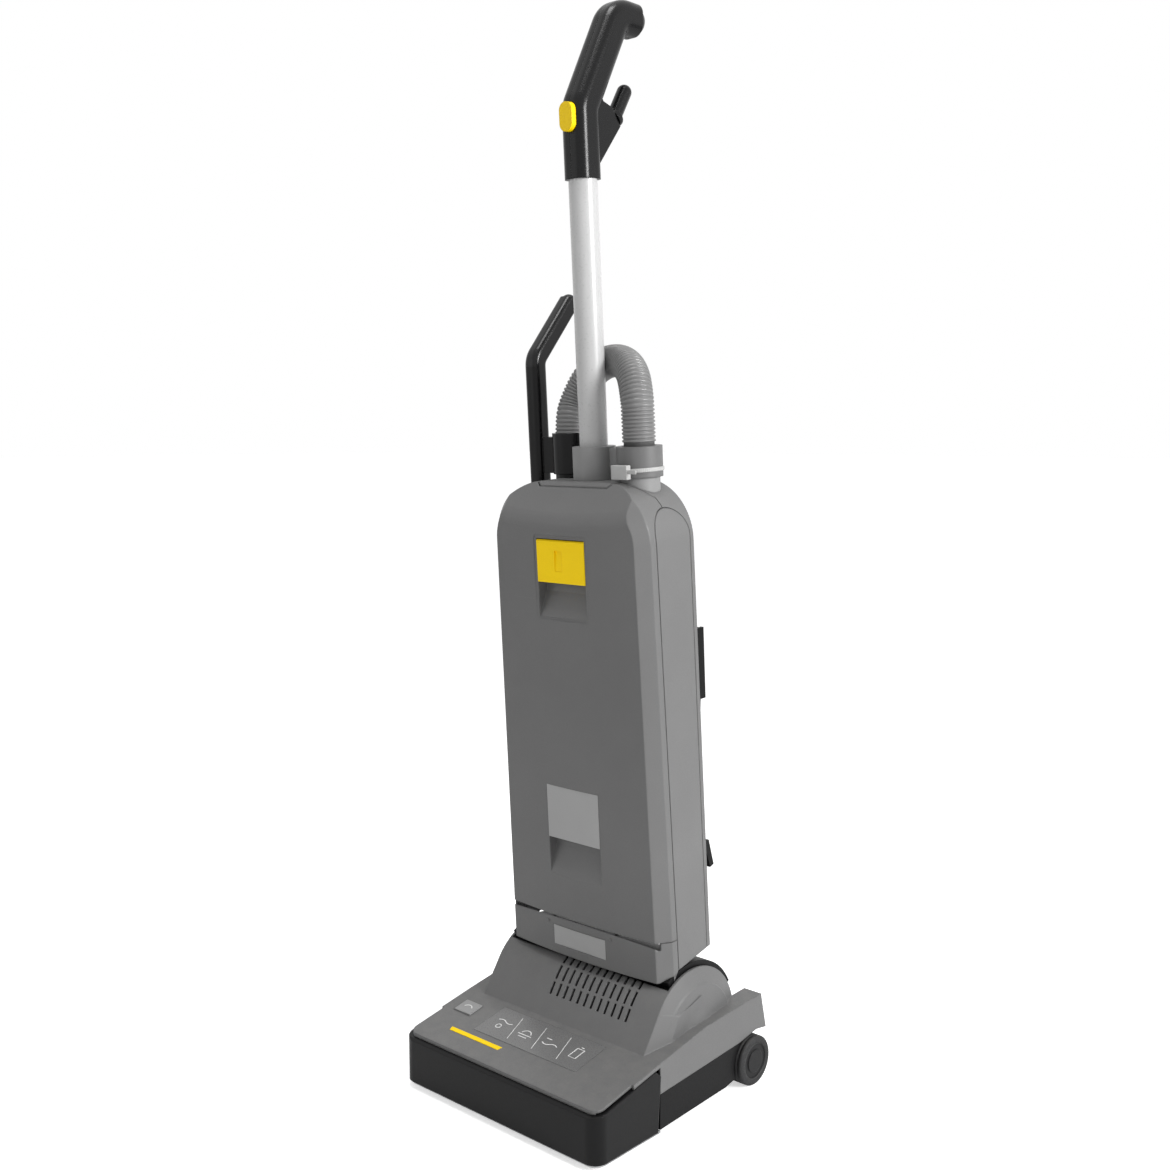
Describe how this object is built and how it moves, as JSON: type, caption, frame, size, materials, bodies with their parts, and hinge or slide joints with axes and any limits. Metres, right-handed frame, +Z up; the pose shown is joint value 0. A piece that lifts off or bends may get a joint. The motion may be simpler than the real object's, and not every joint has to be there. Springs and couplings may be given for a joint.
{
  "type": "upright vacuum cleaner",
  "caption": "Upright floor vacuum cleaner: wheeled brush head, tilting dust body with a hinged front door, short ribbed hose beside a wand, and a tall tube handle with a switch grip.",
  "frame": {"origin": "on the floor, in the middle of the space the parked machine takes up", "axes": "+X to the right seen from the front, +Y to the rear, +Z up"},
  "size_m": [0.3096, 0.302, 1.2289],
  "materials": {
    "door_grey": "fine-grained",
    "housing_grey": "fine-grained",
    "cover_grey": "fine-grained",
    "base_black": "satin",
    "bumper_black": "soft satin",
    "wand_black": "satin",
    "tube_grey": "satin enamel",
    "latch_yellow": "satin",
    "button_yellow": "satin",
    "plate_grey": "smooth",
    "panel_grey": "smooth",
    "sign_white": "printed",
    "button_grey": "satin",
    "hose_grey": "ribbed",
    "socket_grey": "satin",
    "tie_nylon": "smooth nylon",
    "tyre_rubber": "matte",
    "hub_black": "satin",
    "roller_black": "matte",
    "steel": "ground",
    "aluminium_light": "as rolled",
    "bristle_black": "stiff nylon",
    "core_wood": "oiled",
    "belt_rubber": "matte",
    "motor_steel": "zinc-plated",
    "bronze": "sintered",
    "seal_foam": "closed-cell foam",
    "bag_paper": "fleece",
    "filter_white": "pleated fleece",
    "board_green": "solder mask",
    "wand_grey": "satin"
  },
  "bodies": {
    "base": {"base_cover": "cover_grey", "front_bumper": "bumper_black", "chassis": "base_black", "sole_plate": "aluminium_light", "brush_bearings": "steel", "drive_belt": "belt_rubber", "brush_motor": "motor_steel", "wheel_axles": "steel", "roller_pins": "steel", "suction_duct": "base_black", "release_spring": "steel", "instruction_panel": "panel_grey", "pivot_bushes": "bronze"},
    "wheel_left": {"rear_hub_left": "hub_black", "rear_tyre_left": "tyre_rubber"},
    "wheel_right": {"rear_hub_right": "hub_black", "rear_tyre_right": "tyre_rubber"},
    "roller_left": {"front_roller_left": "roller_black"},
    "roller_right": {"front_roller_right": "roller_black"},
    "brush": {"brush_core": "core_wood", "brush_bristles": "bristle_black", "brush_pulley": "hub_black"},
    "motor_shaft": {"motor_rotor": "steel", "motor_pulley": "steel"},
    "release": {"release_button": "button_grey"},
    "body": {"neck_drum": "base_black", "rear_housing": "housing_grey", "motor_cover": "door_grey", "side_panel_left": "housing_grey", "side_panel_right": "housing_grey", "door_seal": "seal_foam", "lower_plate": "plate_grey", "filter_bag": "bag_paper", "bag_collar": "socket_grey", "motor_filter": "filter_white", "vacuum_motor": "motor_steel", "motor_mounts": "seal_foam", "exhaust_filter": "filter_white", "control_board": "board_green", "tube_socket": "socket_grey", "hose_cuff": "socket_grey", "cable_tie": "tie_nylon", "suction_hose": "hose_grey", "wand_head": "wand_black", "wand_tube": "wand_grey", "handle_tube": "tube_grey", "grip_left": "wand_black", "grip_right": "wand_black", "power_switch": "base_black", "lower_cord_hook": "base_black", "tool_clip": "base_black", "crevice_tool": "wand_grey", "cord_gland": "base_black", "housing_screws": "steel"},
    "door": {"bag_door": "door_grey", "front_plate": "plate_grey"},
    "latch": {"door_latch": "latch_yellow"},
    "fan": {"fan_rotor": "aluminium_light"},
    "button": {"power_button": "button_yellow"},
    "hook": {"upper_cord_hook": "wand_black"}
  },
  "joints": [
    {"name": "body_tilt", "type": "hinge", "parent": "base", "child": "body", "pos_m": [0, 0.043, 0.08], "axis": [-1, 0, 0], "range_deg": [0, 78]},
    {"name": "wheel_left_spin", "type": "hinge", "parent": "base", "child": "wheel_left", "pos_m": [-0.1433, 0.122, 0.029], "axis": [1, 0, 0], "continuous": true},
    {"name": "wheel_right_spin", "type": "hinge", "parent": "base", "child": "wheel_right", "pos_m": [0.1433, 0.122, 0.029], "axis": [1, 0, 0], "continuous": true},
    {"name": "roller_left_spin", "type": "hinge", "parent": "base", "child": "roller_left", "pos_m": [-0.112, -0.064, 0.009], "axis": [1, 0, 0], "continuous": true},
    {"name": "roller_right_spin", "type": "hinge", "parent": "base", "child": "roller_right", "pos_m": [0.112, -0.064, 0.009], "axis": [1, 0, 0], "continuous": true},
    {"name": "brush_spin", "type": "hinge", "parent": "base", "child": "brush", "pos_m": [0, -0.108, 0.031], "axis": [1, 0, 0], "continuous": true},
    {"name": "motor_spin", "type": "hinge", "parent": "base", "child": "motor_shaft", "pos_m": [0.05, -0.055, 0.046], "axis": [1, 0, 0], "continuous": true},
    {"name": "release_press", "type": "slide", "parent": "base", "child": "release", "axis": [0, 0, -1], "range_m": [0, 0.004], "stiffness_N_per_m": 500, "springref_m": -0.001, "deforming": ["release_spring"]},
    {"name": "door_hinge", "type": "hinge", "parent": "body", "child": "door", "pos_m": [0, -0.0091, 0.20099], "axis": [1, 0, 0], "range_deg": [0, 75]},
    {"name": "latch_hinge", "type": "hinge", "parent": "door", "child": "latch", "pos_m": [0, -0.04005, 0.63239], "axis": [-1, 0, 0], "range_deg": [0, 25], "stiffness_Nm_per_rad": 0.2, "springref_deg": -5.73},
    {"name": "fan_spin", "type": "hinge", "parent": "body", "child": "fan", "pos_m": [0.027, 0.04015, 0.26174], "axis": [0, -0.0635, 0.998], "continuous": true},
    {"name": "power_press", "type": "slide", "parent": "body", "child": "button", "axis": [0, 0.998, 0.0635], "range_m": [0, 0.003], "stiffness_N_per_m": 500, "springref_m": -0.0005},
    {"name": "hook_swivel", "type": "hinge", "parent": "body", "child": "hook", "pos_m": [0, 0.03816, 1.09629], "axis": [0, 0.7811, 0.6244], "range_deg": [0, 180]}
  ],
  "couplings": [
    {"joint": "motor_spin", "follows": "brush_spin", "ratio": 1.75}
  ]
}
